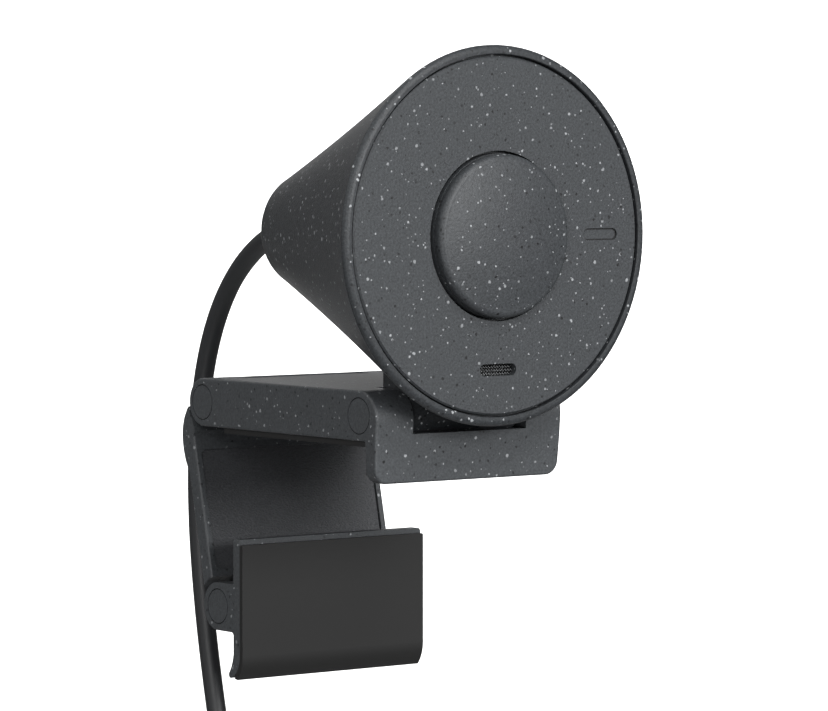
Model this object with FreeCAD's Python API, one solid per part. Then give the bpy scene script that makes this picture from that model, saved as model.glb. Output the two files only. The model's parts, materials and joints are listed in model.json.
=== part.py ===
import FreeCAD, Part
import math
import os

V = FreeCAD.Vector

# Webcam with a cone-shaped body on a folding monitor clip. All sizes are in millimetres.
# X runs to the right as the user at the screen sees the camera, Y runs away from that user
# along the lens axis, Z is up. The parts are drawn about the middle of the front rim and are
# moved onto the clip's resting face when they are saved.

# Camera body
rim_r = 26.5            # outer radius of the cone at its front edge
lip_r = 0.85            # rounding of the front edge
tail_r = 8.0            # radius of the cone at its rear edge, before rounding
tail_round = 1.1        # rounding of the rear edge
body_len = 45.7         # front rim to rear face
waist = 0.34            # how far the side of the cone bows inwards at mid length
wall = 1.8              # wall of the cone
joint_gap = 0.3         # visible groove between the rim and the front plate

# Front plate
plate_out = 0.7         # plate face ahead of the rim's widest circle
plate_t = 2.2
flange_t = 1.2          # hidden flange of the plate, which seats on the housing's shoulder
rim_wall = 1.3          # thickness of the rim around the plate
fit = 0.05              # clearance of pieces that are pushed together
window_in = 8.2         # middle of the status light's window inside the front edge
led_size = (6.1, 1.7)   # hole of the status light
led_sunk = 0.25         # its window lies this far below the plate's face
mic_in = 7.9            # middle of the microphone slot inside the front edge
mic_size = (6.4, 1.7)
mesh_t = 0.2
mesh_depth = 0.9        # mesh below the plate's face

# Privacy cover and the sleeve it turns in
cover_r = 0.43 * rim_r
cover_out = 2.75        # height of the dome's middle above the plate
dome_rise = 0.9         # how much of that is the dome's own bulge
cover_gap = 0.45        # visible ring between the cover and the plate
cover_edge = 1.0        # rounding of the cover's edge
seam = 0.2              # groove between dome and skirt
skirt_wall = 1.5
sleeve_len = 6.0        # sleeve behind the rim's widest circle
sleeve_wall = 1.9
run_gap = 0.05          # radial clearance of everything that turns
end_gap = 0.1           # clearance beside what turns
retainer_t = 0.8
retainer_over = 1.0     # how far the retainer reaches over the sleeve's end

# Inside the body
chassis_t = 1.4
chassis_wall = 1.45
post_r = 1.6
board_y = 20.0          # front face of the main board
board_size = 0.83 * rim_r
post_in = 2.6           # posts inside the board's edges
board_t = 1.2
board_corner = 2.5
screw_r = 0.9
screw_head_r = 1.7
screw_head_t = 1.2
screw_len = 6.0
barrel_r = 4.4
barrel_y = 2.6          # front end of the lens barrel
barrel_len = 12.6
barrel_wall = 0.9
lens_t = 1.6
holder_size = 13.0
holder_t = 5.0
holder_wall = 1.0
boss_len = 4.8
sensor_size = (9.0, 8.0)
sensor_t = 1.3
plug_in_size = (7.0, 4.0, 4.5)   # cord's socket on the main board, in X, Z and Y
small_board_t = 0.8
gasket_t = 0.7
gasket_wall = 0.6

# Cord, its gland and its plug
cord_r = 1.5
gland_r = 2.6
gland_flange_r = 4.6
gland_flange_t = 1.4
cord_len = 1500.0       # from the gland to the plug's strain relief
coil_r = 17.0           # mean radius of the tied coil
coil_fill = 0.73        # share of the coil's section that is cord
coil_dip = 1.5          # how far the loose ends run into the coil
tie_t = 0.9
tie_turn = 40.0         # width of the tie, as an angle of the coil
plug_relief = (2.0, 2.7, 8.0)      # strain relief: radius at the cord, at the grip, and its length
plug_grip_size = (12.0, 6.2, 20.0)
plug_grip_round = 2.4
plug_shell_size = (8.34, 2.56, 6.65)
plug_shell_wall = 0.3
plug_tongue = (6.0, 0.7, 5.0)

# Route of the hanging cord as (y, z) points: from the gland to the coil, and on to the plug
cord_points = [(45.7, 0.0), (51.2, 0.0), (57.5, -2.5), (63.8, -7.2), (68.8, -14.0), (72.1, -22.5),
               (73.8, -33.0), (73.7, -45.5), (72.1, -58.0), (69.9, -69.0), (67.9, -78.5), (66.8, -86.0)]
tail_points = [(0.0, 0.0), (1.0, -10.5), (1.0, -20.5)]     # from the coil's lowest point

# Clip: arm and front jaw in one piece
hinge_z = -24.92        # height of both hinges of the arm
tilt_y = 9.73           # hinge of the camera body
leg_y = 48.24           # hinge of the rear leg
arm_half = 3.525        # half the arm's height, also the radius of its rounded rear end
clip_half = 16.4        # half the arm's width
jaw_front = 4.16        # foremost line of the arm's round front end, ahead of the tilt hinge
jaw_r = 4.0             # radius of that end
jaw_lean = 4.0          # the jaw's front leans back below it, in degrees
jaw_rear = 1.525        # the jaw's rear face ahead of the tilt hinge
jaw_taper = 0.25        # the jaw's side runs in by this much to its lower edge
jaw_bottom = -34.34
jaw_corner = 2.1
edge = 0.35             # small rounding of the clip's edges
liner_t = 0.8           # rubber under the arm
liner_jaw_t = 0.55      # rubber behind the jaw
liner_side = 0.3        # rubber stops this far inside the arm's side
liner_rear = 43.4
liner_low = 1.2         # rubber stops this far above the jaw's lower edge

# Neck of the camera body in the arm's slot
neck_half = 9.7
neck_reach = 6.0        # the neck runs up from its round end by this much
neck_r = 3.0            # round lower end of the neck
neck_back = 3.55        # the neck's rear face behind its hinge
neck_shoulder = 1.2     # the rear face starts this far above the hinge
neck_side_gap = 0.3
neck_gap = 0.2          # clearance around the neck's round end
slot_floor = -27.5      # lower edge of the slot in the jaw's face
slot_back = 4.75        # rear end of the slot behind the hinge
tilt_pin_r = 1.5

# Hinges of the leg and the foot
ear_in = 11.2           # inner faces of the ears
barrel_side_gap = 0.1
knuckle_r = 3.5
knuckle_room = 0.5      # room in the arm around the leg's knuckle
pin_r = 1.25
cap_r = 2.6
cap_t = 1.2
cap_groove = 0.15
cap_groove_deep = 0.3

# Rear leg
leg_len = 29.8          # between its hinges
leg_lean = 7.27         # lean of the hinge line from upright, in degrees
leg_in = 0.05           # the leg's side stands this far inside the arm's
leg_t = 2.4
leg_brow = (1.05, 2.5)  # top of the leg's bulge: behind its tip and below the hinge
leg_long = 8.0          # edges of the leg's side longer than this are rounded
leg_ledge = 4.35        # start of the leg's flat front below its upper hinge
leg_bulge = 5.25        # furthest point of the leg behind its upper hinge
leg_bulge_low = 4.4     # this point below the hinge
leg_flat = 9.6          # start of the leg's flat rear below its upper hinge
leg_flat_mid = (4.98, 7.2)   # point of the curve between them, behind and below the hinge
leg_hug = 0.3           # gap between the leg and the round end of the arm
leg_front = 1.55        # leg's front face behind its lower hinge
knuckle_gap = 0.65      # room between the leg's lower edge and the foot's knuckle
web_in = 0.3            # webs of the knuckles stand this far inside the leg's faces
web_reach = (6.4, 0.8)  # upper web ends this far below its hinge, lower one this far above the leg's end
panel_top = 7.1         # panel below the upper hinge
panel_low = 24.4
panel_rail = 1.0        # frame left around the panel
panel_corner = 1.0
panel_t = 0.6
panel_sunk = 0.4

# Foot
foot_in = 0.05          # the foot's side stands this far inside the arm's
foot_knuckle_r = 3.5
foot_front = 5.6        # front of the foot's plate ahead of its hinge
foot_plate_t = 1.6
foot_top = 10.07        # above the hinge
foot_low = 6.9          # where the lip starts, below the hinge
lip_drop = 3.15
lip_back = 2.0
pad_t = 0.7
foot_corner = 0.5       # rounding of the plate's upper corners
pad_corner = 0.25       # and of the pad's
pad_top_gap = 0.75      # pad below the plate's upper edge

# Middle of the rubber under the arm, the origin of the saved parts
seat_y = 26.0

# Widths that follow from the arm's
jaw_half = clip_half - jaw_taper
leg_half = clip_half - leg_in
foot_half = clip_half - foot_in


# ---------------------------------------------------------------- drawing helpers

def outline(start, steps, place):
    """Closed flat face: a step is a point, or a pair (middle and end of an arc); place puts it in space."""
    edges, here = [], start
    for step in steps:
        if isinstance(step[0], tuple):
            mid, end = step
            edges.append(Part.Arc(place(here), place(mid), place(end)).toShape())
        else:
            end = step
            edges.append(Part.LineSegment(place(here), place(end)).toShape())
        here = end
    if math.dist(here, start) > 1e-6:
        edges.append(Part.LineSegment(place(here), place(start)).toShape())
    return Part.Face(Part.Wire(edges))


def prism_x(start, steps, x0, x1):
    """Solid between two planes across X from an outline of (y, z) points."""
    return outline(start, steps, lambda p: V(x0, p[0], p[1])).extrude(V(x1 - x0, 0, 0))


def rod_x(y, z, r, x0, x1):
    return Part.makeCylinder(r, x1 - x0, V(x0, y, z), V(1, 0, 0))


def rod_y(x, z, r, y0, y1):
    return Part.makeCylinder(r, y1 - y0, V(x, y0, z), V(0, 1, 0))


def block(x0, x1, y0, y1, z0, z1):
    return Part.makeBox(x1 - x0, y1 - y0, z1 - z0, V(x0, y0, z0))


def turned(start, steps):
    """Solid turned about the lens axis from a half section given as (radius, y) points."""
    solid = outline(start, steps, lambda p: V(p[0], p[1], 0)).revolve(V(0, 0, 0), V(0, 1, 0), 360)
    return solid if solid.Volume > 0 else solid.reversed()


def on_circle(cy, cz, r, degrees):
    a = math.radians(degrees)
    return (cy + r * math.cos(a), cz + r * math.sin(a))


def obround_y(x, z, size, y0, y1, grow=0.0):
    """Slot-shaped solid along Y: size is its length in X and height in Z."""
    r = size[1] / 2 + grow
    reach = size[0] / 2 - size[1] / 2
    middle = block(x - reach, x + reach, y0, y1, z - r, z + r)
    return middle.fuse([rod_y(x - reach, z, r, y0, y1), rod_y(x + reach, z, r, y0, y1)]).removeSplitter()


def soften(shape, radius, wanted):
    edges = [e for e in shape.Edges if wanted(e)]
    return shape.makeFillet(radius, edges)


def is_line_along(e, axis):
    if e.Curve.TypeId != "Part::GeomLine":
        return False
    d = e.tangentAt(e.FirstParameter)
    return abs(abs(d.dot(axis)) - 1) < 1e-6


# ---------------------------------------------------------------- camera body

def cone_r(y):
    """Outer radius of the cone at y, on the bowed side of the body."""
    t = y / body_len
    return rim_r + (tail_r - rim_r) * t - waist * 4 * t * (1 - t)


seat_r = rim_r - rim_wall            # bore that the front plate is pushed into
shoulder_y = plate_t - plate_out     # back of the front plate
rear_in = body_len - wall
slope = math.atan2(rim_r - tail_r, body_len)


def rear_housing():
    lip_mid = (rim_r - lip_r * (1 - math.sin(math.radians(45))), -lip_r * math.cos(math.radians(45)))
    tail_at = body_len - tail_round * (1 + math.sin(slope))
    tail_start = (cone_r(tail_at), tail_at)
    tail_mid = (tail_r - tail_round * 0.22, body_len - tail_round * 0.3)
    tail_end = (tail_r - tail_round, body_len)
    inner_rear = (cone_r(rear_in) - wall / math.cos(slope), rear_in)
    inner_front = (cone_r(shoulder_y) - wall / math.cos(slope), shoulder_y)
    half = body_len / 2
    inner_mid = (cone_r(half) - wall / math.cos(slope), half)
    shell = turned((seat_r, shoulder_y), [
        (seat_r, -lip_r + 0.1),
        (seat_r + 0.1, -lip_r),
        (rim_r - lip_r, -lip_r),
        (lip_mid, (rim_r, 0.0)),
        ((cone_r(half), half), tail_start),
        (tail_mid, tail_end),
        (gland_r, body_len),
        (gland_r, rear_in),
        inner_rear,
        (inner_mid, inner_front),
    ])
    cavity = turned((0, -lip_r), [(inner_front[0], -lip_r), inner_front, (inner_mid, inner_rear),
                                  (0, rear_in)])
    top = hinge_z + neck_r + neck_reach
    neck = prism_x((tilt_y - neck_r, hinge_z), [
        (on_circle(tilt_y, hinge_z, neck_r, 270), (tilt_y + neck_r, hinge_z)),
        (tilt_y + neck_back, hinge_z + neck_shoulder),
        (tilt_y + neck_back, top), (tilt_y - neck_r, top)], -neck_half, neck_half)
    neck = soften(neck, edge, lambda e: abs(abs(e.CenterOfMass.x) - neck_half) < 1e-6
                  and e.CenterOfMass.z < top - 0.1)
    body = shell.fuse(neck.cut(cavity)).removeSplitter()
    return body.cut(rod_x(tilt_y, hinge_z, tilt_pin_r + run_gap, -neck_half - 1, neck_half + 1))


guide_r = cover_r + 2 * run_gap      # bore of the sleeve
skirt_r = guide_r - run_gap
sleeve_r = guide_r + sleeve_wall
cover_hole_r = cover_r + cover_gap
face_r = seat_r - joint_gap
led_x = rim_r - window_in
mic_z = mic_in - rim_r


def front_plate():
    plate = turned((cover_hole_r, -plate_out), [
        (face_r - 0.25, -plate_out),
        (face_r, -plate_out + 0.25),
        (face_r, shoulder_y - flange_t),
        (seat_r - fit, shoulder_y - flange_t),
        (seat_r - fit, shoulder_y),
        (sleeve_r, shoulder_y),
        (sleeve_r, sleeve_len),
        (guide_r, sleeve_len),
        (guide_r, 0.6),
        (cover_hole_r, 0.6),
    ])
    led = obround_y(led_x, 0, led_size, -plate_out - 1, shoulder_y + 1)
    mic = obround_y(0, mic_z, mic_size, -plate_out - 1, shoulder_y + 1)
    return plate.cut([led, mic])


def led_window():
    return obround_y(led_x, 0, led_size, -plate_out + led_sunk, shoulder_y)


def mic_mesh():
    y0 = -plate_out + mesh_depth
    return obround_y(0, mic_z, mic_size, y0, y0 + mesh_t)


def mic_gasket():
    y1 = shoulder_y + gasket_t
    ring = obround_y(0, mic_z, mic_size, shoulder_y, y1, gasket_wall)
    hole = obround_y(0, mic_z, mic_size, shoulder_y - 1, y1 + 1)
    return ring.cut(hole)


def mic_board():
    y0 = shoulder_y + gasket_t
    half_x = mic_size[0] / 2 + gasket_wall
    half_z = mic_size[1] / 2 + gasket_wall
    board = block(-half_x, half_x, y0, y0 + small_board_t, mic_z - half_z, mic_z + half_z)
    chip = block(-half_x / 2, half_x / 2, y0 + small_board_t, y0 + 2 * small_board_t,
                 mic_z - half_z / 2, mic_z + half_z / 2)
    return board.fuse(chip).removeSplitter()


def led_board():
    """Runs from just outside the chassis to the outer end of the window."""
    inner = sleeve_r + fit + chassis_wall + 0.3
    half_z = led_size[1] / 2 + gasket_wall
    return block(inner, led_x + led_size[0] / 2, shoulder_y, shoulder_y + small_board_t, -half_z, half_z)


# ---------------------------------------------------------------- privacy cover

skirt_top = -plate_out - 0.25
dome_base = skirt_top - seam
dome_top = -plate_out - cover_out
skirt_in = skirt_r - skirt_wall
clip_r = skirt_r - 0.55              # reduced end of the skirt, which carries the retainer
clip_y = sleeve_len - fit


def privacy_cover():
    shoulder = dome_top + dome_rise
    rim_mid = (cover_r - cover_edge * (1 - math.sin(math.radians(45))),
               shoulder + cover_edge * (1 - math.cos(math.radians(45))))
    return turned((0, dome_top), [
        ((cover_r / 2, dome_top + dome_rise * 0.26), (cover_r - cover_edge, shoulder)),
        (rim_mid, (cover_r, shoulder + cover_edge)),
        (cover_r, dome_base),
        (cover_r - seam, dome_base),
        (cover_r - seam, skirt_top),
        (skirt_in, skirt_top),
        (skirt_in, skirt_top + 1.3),
        (skirt_in - 0.9, skirt_top + 1.3),
        (skirt_in - 0.9, dome_base),
        (0, dome_base),
    ])


def cover_skirt():
    end = clip_y + retainer_t + end_gap + fit
    return turned((skirt_in, skirt_top), [
        (skirt_r, skirt_top), (skirt_r, clip_y), (clip_r, clip_y), (clip_r, end), (skirt_in, end)])


def cover_retainer():
    y0 = sleeve_len + end_gap
    return turned((clip_r, y0), [
        (guide_r + retainer_over, y0), (guide_r + retainer_over, y0 + retainer_t),
        (clip_r, y0 + retainer_t)])


# ---------------------------------------------------------------- inside the body

chassis_y = sleeve_len + end_gap + retainer_t + 0.3
chassis_in = sleeve_r + fit
post_at = board_size / 2 - post_in
corners = [(sx * post_at, sz * post_at) for sx in (-1, 1) for sz in (-1, 1)]
boss_y = board_y - holder_t - boss_len


def chassis():
    outer = chassis_in + chassis_wall
    cup = turned((chassis_in, shoulder_y), [
        (outer, shoulder_y), (outer, chassis_y + chassis_t), (barrel_r + 0.4, chassis_y + chassis_t),
        (barrel_r + 0.4, chassis_y), (chassis_in, chassis_y)])
    posts = [rod_y(x, z, post_r, chassis_y + chassis_t, board_y) for x, z in corners]
    bores = [rod_y(x, z, screw_r, board_y + board_t - screw_len, board_y + 1) for x, z in corners]
    return cup.fuse(posts).cut(bores)


def main_board():
    half = board_size / 2
    board = block(-half, half, board_y, board_y + board_t, -half, half)
    board = soften(board, board_corner, lambda e: is_line_along(e, V(0, 1, 0)))
    return board.cut([rod_y(x, z, screw_r + 0.1, board_y - 1, board_y + board_t + 1) for x, z in corners])


def board_screw(x, z):
    seat = board_y + board_t
    return rod_y(x, z, screw_r, seat - screw_len, seat).fuse(
        rod_y(x, z, screw_head_r, seat, seat + screw_head_t)).removeSplitter()


def lens_holder():
    half = holder_size / 2
    base_y = board_y - holder_t
    box = block(-half, half, base_y, board_y, -half, half)
    room = block(-half + holder_wall, half - holder_wall, base_y + 1.2, board_y + 1,
                 -half + holder_wall, half - holder_wall)
    boss = rod_y(0, 0, barrel_r + 1.2, boss_y, base_y)
    return box.fuse(boss).cut([room, rod_y(0, 0, barrel_r, boss_y - 1, board_y)]).removeSplitter()


def lens_barrel():
    end = barrel_y + barrel_len
    bore = barrel_r - barrel_wall
    return turned((bore, barrel_y), [(barrel_r, barrel_y), (barrel_r, end), (bore - 0.8, end),
                                     (bore - 0.8, barrel_y + lens_t + 0.3),
                                     (bore, barrel_y + lens_t + 0.3)])


def lens_glass():
    r = barrel_r - barrel_wall
    y0 = barrel_y + 0.3
    return turned((0, y0), [((r / 2, y0 + 0.1), (r, y0 + 0.4)), (r, y0 + lens_t), (0, y0 + lens_t)])


def image_sensor():
    x, z = sensor_size[0] / 2, sensor_size[1] / 2
    return block(-x, x, board_y - sensor_t, board_y, -z, z)


socket_end = board_y + board_t + plug_in_size[2]


def cord_socket():
    x, z = plug_in_size[0] / 2, plug_in_size[1] / 2
    return block(-x, x, board_y + board_t, socket_end, -z, z)


def cord_gland():
    return turned((cord_r, rear_in - gland_flange_t), [
        (gland_flange_r, rear_in - gland_flange_t), (gland_flange_r, rear_in), (gland_r, rear_in),
        (gland_r, body_len), (cord_r, body_len)])


def inner_lead():
    return rod_y(0, 0, cord_r, socket_end, body_len)


# ---------------------------------------------------------------- clip

arm_top = hinge_z + arm_half
arm_low = hinge_z - arm_half
jaw_y = tilt_y - jaw_front           # foremost line of the clip
jaw_back = tilt_y - jaw_rear


def ear_holes(y, z, r, half):
    """Pin hole through both ears with a wider seat for the cap in each outer face."""
    holes = [rod_x(y, z, r, -half - 1, half + 1)]
    for side in (-1, 1):
        x0, x1 = sorted((side * (half - cap_t), side * (half + 1)))
        holes.append(rod_x(y, z, cap_r, x0, x1))
    return holes


def pin(y, z, r, half):
    return rod_x(y, z, r, -half + cap_t, half - cap_t)


def pin_cap(y, z, half, side):
    inner, groove, outer = half - cap_t, half - cap_groove_deep, half
    a0, a1 = sorted((side * inner, side * groove))
    b0, b1 = sorted((side * groove, side * outer))
    return rod_x(y, z, cap_r, a0, a1).fuse(rod_x(y, z, cap_r - cap_groove, b0, b1)).removeSplitter()


def clip_bracket():
    mid_y, mid_z = jaw_y + jaw_r, arm_top - jaw_r
    low_y, low_z = on_circle(mid_y, mid_z, jaw_r, 180 + jaw_lean)

    def front_y(z):
        """The leaning front, below the arm's round end."""
        return low_y + (low_z - z) * math.tan(math.radians(jaw_lean))

    arm = prism_x((mid_y, arm_top), [
        (leg_y, arm_top),
        ((leg_y + arm_half, hinge_z), (leg_y, arm_low)),
        (front_y(arm_low), arm_low),
        (low_y, low_z),
        (on_circle(mid_y, mid_z, jaw_r, 135 + jaw_lean / 2), (mid_y, arm_top)),
    ], -clip_half, clip_half)
    arm = soften(arm, edge, lambda e: abs(abs(e.CenterOfMass.x) - clip_half) < 1e-6
                 and e.CenterOfMass.z > arm_low + 0.1)
    # the jaw narrows towards its lower edge
    right = [(clip_half, low_z), (clip_half, arm_low), (jaw_half, jaw_bottom)]
    corners_xz = right + [(-x, z) for x, z in reversed(right)]
    rim = [V(x, front_y(z), z) for x, z in corners_xz]
    jaw = Part.Face(Part.makePolygon(rim + rim[:1])).extrude(V(0, jaw_back - jaw_y, 0))
    jaw = soften(jaw, jaw_corner, lambda e: is_line_along(e, V(0, 1, 0))
                 and e.CenterOfMass.z < jaw_bottom + 0.1)
    jaw = soften(jaw, edge, lambda e: e.CenterOfMass.y < front_y(e.CenterOfMass.z) + 1e-3
                 and e.CenterOfMass.z < low_z - 0.1)
    jaw = jaw.common(block(-clip_half, clip_half, jaw_y, jaw_back, jaw_bottom, low_z))
    body = arm.fuse(jaw).removeSplitter()
    slot_half = neck_half + neck_side_gap
    slot = block(-slot_half, slot_half, jaw_y - 1, tilt_y + slot_back, slot_floor, arm_top + 1)
    round_slot = rod_x(tilt_y, hinge_z, neck_r + neck_gap, -slot_half, slot_half)
    rear_gap = block(-ear_in, ear_in, leg_y - knuckle_r - knuckle_room, leg_y + arm_half + 1,
                     arm_low - 1, arm_top + 1)
    body = body.cut([slot, round_slot, rear_gap])
    body = body.cut(ear_holes(tilt_y, hinge_z, tilt_pin_r, clip_half))
    return body.cut(ear_holes(leg_y, hinge_z, pin_r, clip_half))


def bracket_liner():
    half = jaw_half - liner_side
    low = jaw_bottom + liner_low
    return prism_x((jaw_back, arm_low), [
        (jaw_back, low), (jaw_back + liner_jaw_t, low), (jaw_back + liner_jaw_t, arm_low - liner_t),
        (liner_rear, arm_low - liner_t), (liner_rear, arm_low)], -half, half)


# ---------------------------------------------------------------- rear leg

lean = math.radians(leg_lean)
foot_y = leg_y - leg_len * math.sin(lean)
foot_z = hinge_z - leg_len * math.cos(lean)
barrel_half = ear_in - barrel_side_gap

# the leg's flat front runs between these two points, parallel to its flat rear
leg_top = (leg_y + 2.4, hinge_z - leg_ledge - 0.6)
leg_foot = (foot_y + leg_front, foot_z + foot_knuckle_r + knuckle_gap)
leg_dir = (leg_foot[0] - leg_top[0], leg_foot[1] - leg_top[1])
leg_unit = (leg_dir[0] / math.hypot(*leg_dir), leg_dir[1] / math.hypot(*leg_dir))
leg_out = (-leg_unit[1], leg_unit[0])     # points to the rear


def along_leg(drop, back):
    """Point on the leg: drop is the height below its upper hinge, back the depth from its front."""
    t = (hinge_z - drop - leg_top[1]) / leg_unit[1]
    return (leg_top[0] + leg_unit[0] * t + leg_out[0] * back,
            leg_top[1] + leg_unit[1] * t + leg_out[1] * back)


def leg():
    hug = arm_half + leg_hug
    tip = on_circle(leg_y, hinge_z, hug, -12)
    hug_mid = on_circle(leg_y, hinge_z, hug, -28)
    hug_end = on_circle(leg_y, hinge_z, hug, -44)
    nose = (leg_y + leg_bulge, hinge_z - leg_bulge_low)
    rear_top = along_leg(leg_flat, leg_t)
    lower_gap = foot_knuckle_r + knuckle_gap
    reach = math.hypot(lower_gap, leg_front)
    rear_low = on_leg_end(reach)
    turn = [math.atan2(lower_gap, leg_front), math.atan2(rear_low[1] - foot_z, rear_low[0] - foot_y)]
    low_mid = on_circle(foot_y, foot_z, reach, math.degrees(sum(turn) / 2))
    side = prism_x(tip, [
        ((tip[0] + leg_brow[0], hinge_z - leg_brow[1]), nose),
        ((leg_y + leg_flat_mid[0], hinge_z - leg_flat_mid[1]), rear_top),
        rear_low,
        (low_mid, leg_foot),
        leg_top,
        (leg_top[0] - 0.35, hinge_z - leg_ledge),
        hug_end,
        (hug_mid, tip),
    ], -leg_half, leg_half)
    side = soften(side, edge, lambda e: abs(abs(e.CenterOfMass.x) - leg_half) < 1e-6 and e.Length > leg_long)
    upper = rod_x(leg_y, hinge_z, knuckle_r, -barrel_half, barrel_half)
    upper_web = prism_x((leg_y, hinge_z - knuckle_r), [
        along_leg(web_reach[0], web_in), along_leg(web_reach[0], leg_t - 2 * web_in),
        (leg_y + knuckle_r, hinge_z)],
        -barrel_half, barrel_half)
    lower = rod_x(foot_y, foot_z, knuckle_r, -barrel_half, barrel_half)
    lower_web = prism_x(on_circle(foot_y, foot_z, knuckle_r, 125), [
        along_leg(leg_drop(web_reach[1]), web_in), along_leg(leg_drop(web_reach[1]), leg_t - web_in),
        on_circle(foot_y, foot_z, knuckle_r, 5), (foot_y, foot_z)], -barrel_half, barrel_half)
    body = side.fuse([upper, upper_web, lower, lower_web]).removeSplitter()
    # pocket for the dark panel, open to the front
    pocket_half = leg_half - panel_rail
    pocket = panel_solid(-1.0, panel_sunk + panel_t, pocket_half, panel_corner)
    bores = [rod_x(leg_y, hinge_z, pin_r + run_gap, -leg_half - 1, leg_half + 1),
             rod_x(foot_y, foot_z, pin_r + run_gap, -leg_half - 1, leg_half + 1)]
    return body.cut([pocket] + bores)


def leg_drop(above):
    """Depth below the upper hinge of a point that lies above the leg's lower edge."""
    return hinge_z - leg_foot[1] - above


def on_leg_end(reach):
    """Where the leg's rear face meets the clearance circle around the foot's knuckle."""
    base = along_leg(hinge_z - leg_foot[1], leg_t)
    ry, rz = base[0] - foot_y, base[1] - foot_z
    b = ry * leg_unit[0] + rz * leg_unit[1]
    c = ry * ry + rz * rz - reach * reach
    t = -b - math.sqrt(b * b - c)
    return (base[0] + leg_unit[0] * t, base[1] + leg_unit[1] * t)


def panel_solid(back0, back1, half, corner):
    """Slab parallel to the leg's front between two depths, with rounded corners."""
    slab = prism_x(along_leg(panel_top, back0), [
        along_leg(panel_low, back0), along_leg(panel_low, back1), along_leg(panel_top, back1)],
        -half, half)
    normal = V(0, leg_out[0], leg_out[1])
    return soften(slab, corner, lambda e: is_line_along(e, normal))


def leg_panel():
    return panel_solid(panel_sunk, panel_sunk + panel_t, leg_half - panel_rail, panel_corner)


# ---------------------------------------------------------------- foot

plate_front = foot_y - foot_front
plate_back = plate_front + foot_plate_t
lip_top = foot_z - foot_low


def foot_side(end, half):
    """The foot's front face and rolled lip, closed along the given steps at its rear."""
    tip = (plate_front + lip_back, lip_top - lip_drop)
    return prism_x((plate_front, foot_z + foot_top), [
        (plate_front, lip_top),
        ((plate_front + lip_back * 0.3, lip_top - lip_drop * 0.62), tip),
        ((tip[0] + 0.65, tip[1] + 0.02), (tip[0] + 0.7, tip[1] + 0.65))] + end, -half, half)


def foot_frame():
    body = foot_side([((plate_back + 0.35, lip_top - lip_drop * 0.35), (plate_back, lip_top + 0.3)),
                      (plate_back, foot_z + foot_top)], foot_half)
    body = soften(body, foot_corner, lambda e: is_line_along(e, V(0, 1, 0))
                  and e.CenterOfMass.z > foot_z + foot_top - 0.1)
    low = foot_z - foot_knuckle_r
    for x0, x1 in ((-foot_half, -ear_in), (ear_in, foot_half)):
        body = body.fuse(prism_x((plate_back - 0.5, foot_z + foot_knuckle_r), [
            (foot_y, foot_z + foot_knuckle_r),
            ((foot_y + foot_knuckle_r, foot_z), (foot_y, low)),
            (plate_back + 0.5, low),
            ((plate_back + 0.15, low - 0.15), (plate_back, low - 0.5)),
            (plate_back - 0.5, low - 0.5)], x0, x1))
    return body.removeSplitter().cut(ear_holes(foot_y, foot_z, pin_r, foot_half))


def foot_pad():
    top = foot_z + foot_top - pad_top_gap
    tip_z = lip_top - lip_drop - 0.27
    pad = prism_x((plate_front, top), [
        (plate_front - pad_t, top),
        (plate_front - pad_t, lip_top),
        ((plate_front - pad_t * 0.45, lip_top - lip_drop * 0.62), (plate_front + 0.6, tip_z)),
        (plate_front + lip_back * 0.62, tip_z + 0.12),
        (plate_front + lip_back * 0.64, lip_top - lip_drop * 0.84)], -foot_half, foot_half)
    pad = soften(pad, pad_corner, lambda e: is_line_along(e, V(0, 1, 0)) and e.CenterOfMass.z > top - 0.1)
    return pad.cut(foot_side([(plate_front + lip_back + 0.7, foot_z + foot_top)], foot_half + 1))


# ---------------------------------------------------------------- cord

def route(points):
    """Straight runs joined by arcs that are as large as their two runs allow, and its length."""
    here, edges, length = V(0, *points[0]), [], 0.0
    for before, at, after in zip(points, points[1:], points[2:]):
        a, b, c = V(0, *before), V(0, *at), V(0, *after)
        back, on = (a - b), (c - b)
        half = (math.pi - back.getAngle(on)) / 2
        cut = 0.45 * min(back.Length, on.Length)
        radius = cut / math.tan(half)
        back.normalize()
        on.normalize()
        start, end = b + back * cut, b + on * cut
        inward = back + on
        inward.normalize()
        middle = b + inward * (radius / math.cos(half) - radius)
        edges += [Part.LineSegment(here, start).toShape(), Part.Arc(start, middle, end).toShape()]
        length += (start - here).Length + 2 * half * radius
        print("  arc radius %.1f mm, turn %.1f degrees" % (radius, math.degrees(2 * half)))
        here = end
    last = V(0, *points[-1])
    edges.append(Part.LineSegment(here, last).toShape())
    return Part.Wire(edges), length + (last - here).Length


def tube(points):
    path, length = route(points)
    ring = Part.Wire(Part.makeCircle(cord_r, path.Vertexes[0].Point, V(0, points[1][0] - points[0][0],
                                                                     points[1][1] - points[0][1])))
    solid = path.makePipeShell([ring], True, False)
    print("  tube %.1f mm long, volume %.1f of %.1f mm3"
          % (length, solid.Volume, math.pi * cord_r ** 2 * length))
    return solid, length


cord, cord_run = tube(cord_points)
coil_top = cord_points[-1][1] + coil_dip
coil_y = cord_points[-1][0]
tail_run = sum(math.dist(a, b) for a, b in zip(tail_points, tail_points[1:]))
coil_run = cord_len - cord_run - tail_run
coil_thick = math.sqrt(coil_run * cord_r ** 2 / (coil_fill * 2 * math.pi * coil_r))
coil_z = coil_top - coil_thick - coil_r
coil_low = coil_z - coil_r - coil_thick
tail, _ = tube([(coil_y + y, coil_low + coil_dip + z) for y, z in tail_points])
plug_y = coil_y + tail_points[-1][0]
plug_top = coil_low + coil_dip + tail_points[-1][1]
print("  coil holds %.0f mm of cord, %.1f mm thick" % (coil_run, 2 * coil_thick))


def cord_coil():
    return Part.makeTorus(coil_r, coil_thick, V(0, coil_y, coil_z), V(0, 1, 0))


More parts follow.
